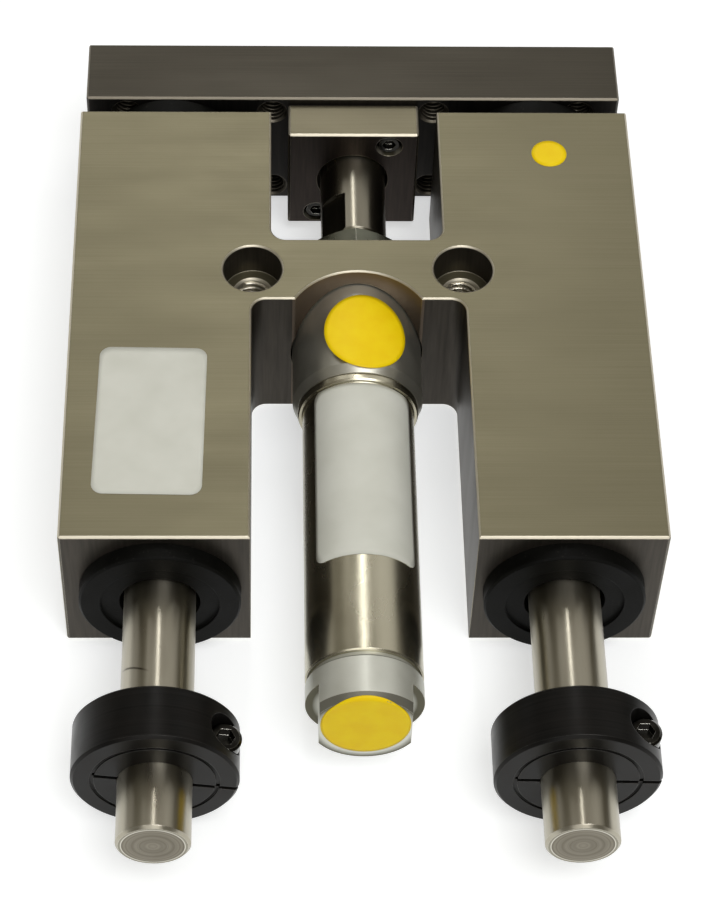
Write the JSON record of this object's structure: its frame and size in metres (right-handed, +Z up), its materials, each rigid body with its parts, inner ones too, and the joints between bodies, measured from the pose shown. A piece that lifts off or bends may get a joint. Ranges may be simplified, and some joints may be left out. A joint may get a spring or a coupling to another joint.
{
  "type": "pneumatic slide table",
  "caption": "Pneumatic slide table: an H-shaped body, two guide shafts in ball bearings, a cylinder in its slot, a tool plate and clamp stop collars.",
  "frame": {"origin": "on the base face, midway between the two mounting holes in the body's web", "axes": "+Y the way the tool plate travels, +Z up out of the body's top face, +X to the right seen from the stop collars' end"},
  "size_m": [0.106, 0.1727, 0.0318],
  "materials": {
    "body_metal": "hard anodised, fine brushed lines across",
    "plate_metal": "hard anodised, fine brushed lines across",
    "ground_steel": "ground and polished",
    "bearing_steel": "ground",
    "plated_steel": "zinc plated",
    "tube_stainless": "drawn stainless, satin",
    "head_aluminium": "turned, bright",
    "black_oxide": "black oxide, oiled",
    "bumper_urethane": "moulded, slightly glossy",
    "seal_rubber": "moulded, matte",
    "cage_polymer": "moulded",
    "bronze": "sintered bronze"
  },
  "bodies": {
    "base": {"slide_body": "body_metal", "bearing_shell_front_left": "bearing_steel", "bearing_shell_front_right": "bearing_steel", "bearing_shell_rear_left": "bearing_steel", "bearing_shell_rear_right": "bearing_steel", "bearing_cage_front_left": "cage_polymer", "bearing_cage_front_right": "cage_polymer", "bearing_cage_rear_left": "cage_polymer", "bearing_cage_rear_right": "cage_polymer", "bearing_balls_front_left": "bearing_steel", "bearing_balls_front_right": "bearing_steel", "bearing_balls_rear_left": "bearing_steel", "bearing_balls_rear_right": "bearing_steel", "wiper_seals": "seal_rubber", "bumper_front_left": "bumper_urethane", "bumper_front_right": "bumper_urethane", "bumper_rear_left": "bumper_urethane", "bumper_rear_right": "bumper_urethane", "cylinder_head": "head_aluminium", "rod_bushing": "bronze", "rod_seal": "seal_rubber", "rod_wiper": "seal_rubber", "nose_nut": "plated_steel", "cylinder_tube": "tube_stainless", "cylinder_rear_cap": "head_aluminium", "tube_seals": "seal_rubber"},
    "carriage": {"tool_plate": "plate_metal", "shaft_screws": "black_oxide", "guide_shaft_left": "ground_steel", "guide_shaft_right": "ground_steel", "coupling_block": "plate_metal", "block_screws": "black_oxide", "rod_coupler": "ground_steel", "piston_rod": "ground_steel", "piston": "head_aluminium", "piston_seals": "seal_rubber"},
    "left_collar": {"stop_collar_left": "black_oxide", "collar_screw_left": "black_oxide"},
    "right_collar": {"stop_collar_right": "black_oxide", "collar_screw_right": "black_oxide"}
  },
  "joints": [
    {"name": "carriage_slide", "type": "slide", "parent": "base", "child": "carriage", "axis": [0, 1, 0], "range_m": [0, 0.0254]},
    {"name": "left_collar_slide", "type": "slide", "parent": "carriage", "child": "left_collar", "axis": [0, -1, 0], "range_m": [0, 0.0115]},
    {"name": "right_collar_slide", "type": "slide", "parent": "carriage", "child": "right_collar", "axis": [0, -1, 0], "range_m": [0, 0.0115]}
  ]
}
